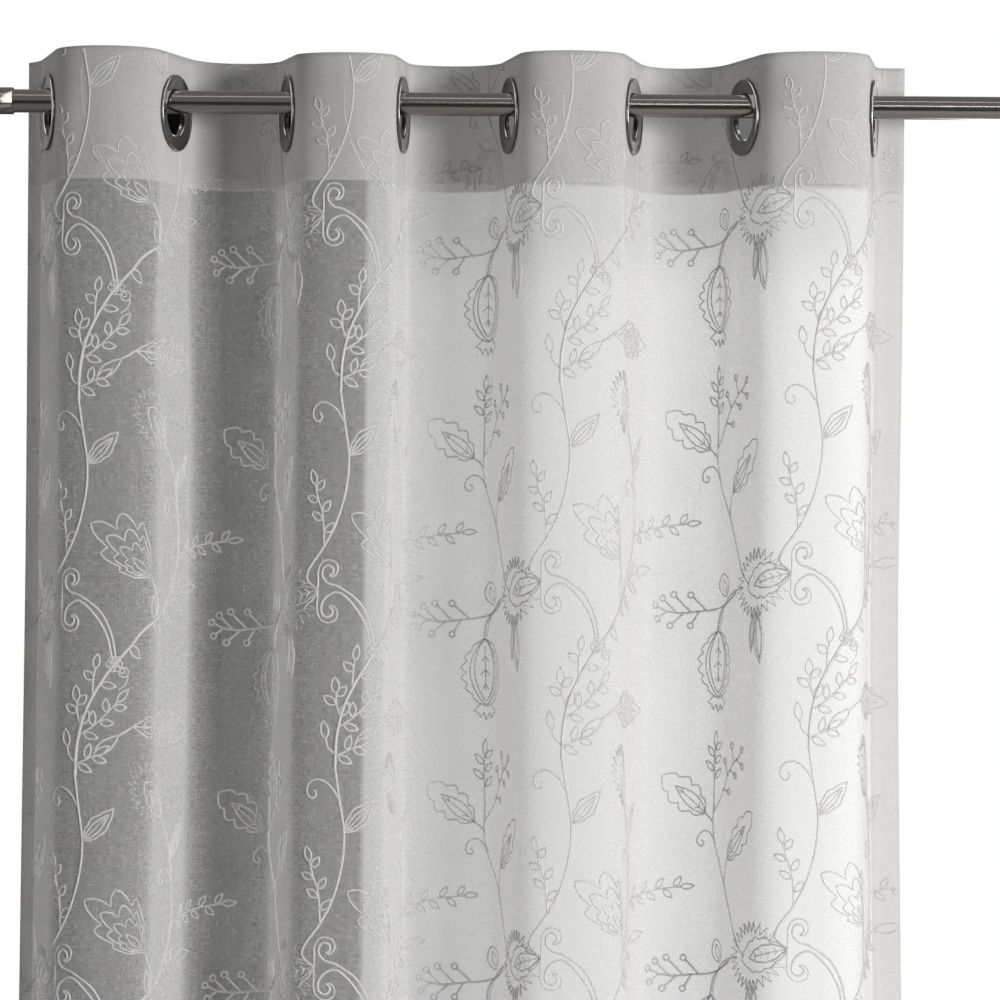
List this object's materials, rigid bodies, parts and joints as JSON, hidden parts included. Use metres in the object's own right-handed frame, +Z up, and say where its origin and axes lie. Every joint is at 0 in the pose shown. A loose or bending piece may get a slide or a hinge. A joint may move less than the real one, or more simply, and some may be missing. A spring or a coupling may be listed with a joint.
{
  "type": "sheer curtain on a rod",
  "caption": "Sheer voile curtain panel with white corded vine embroidery, hanging in soft folds by dark metal eyelets from a plain round rod.",
  "frame": {"origin": "middle of the rod's axis", "axes": "+X along the rod to the right, +Y away from the viewer of the cloth's face, +Z up"},
  "size_m": [1, 0.1344, 2.134],
  "materials": {
    "voile": "sheer, with a fine slub weave",
    "eyelet_metal": "polished gunmetal plating",
    "rod_metal": "brushed dark nickel"
  },
  "bodies": {
    "root": {"voile_panel": "voile", "eyelet_1_face": "eyelet_metal", "eyelet_1_back": "eyelet_metal", "eyelet_2_face": "eyelet_metal", "eyelet_2_back": "eyelet_metal", "eyelet_3_face": "eyelet_metal", "eyelet_3_back": "eyelet_metal", "eyelet_4_face": "eyelet_metal", "eyelet_4_back": "eyelet_metal", "eyelet_5_face": "eyelet_metal", "eyelet_5_back": "eyelet_metal", "eyelet_6_face": "eyelet_metal", "eyelet_6_back": "eyelet_metal", "eyelet_7_face": "eyelet_metal", "eyelet_7_back": "eyelet_metal", "eyelet_8_face": "eyelet_metal", "eyelet_8_back": "eyelet_metal", "rod": "rod_metal", "cap_left": "rod_metal", "cap_right": "rod_metal"}
  },
  "joints": []
}
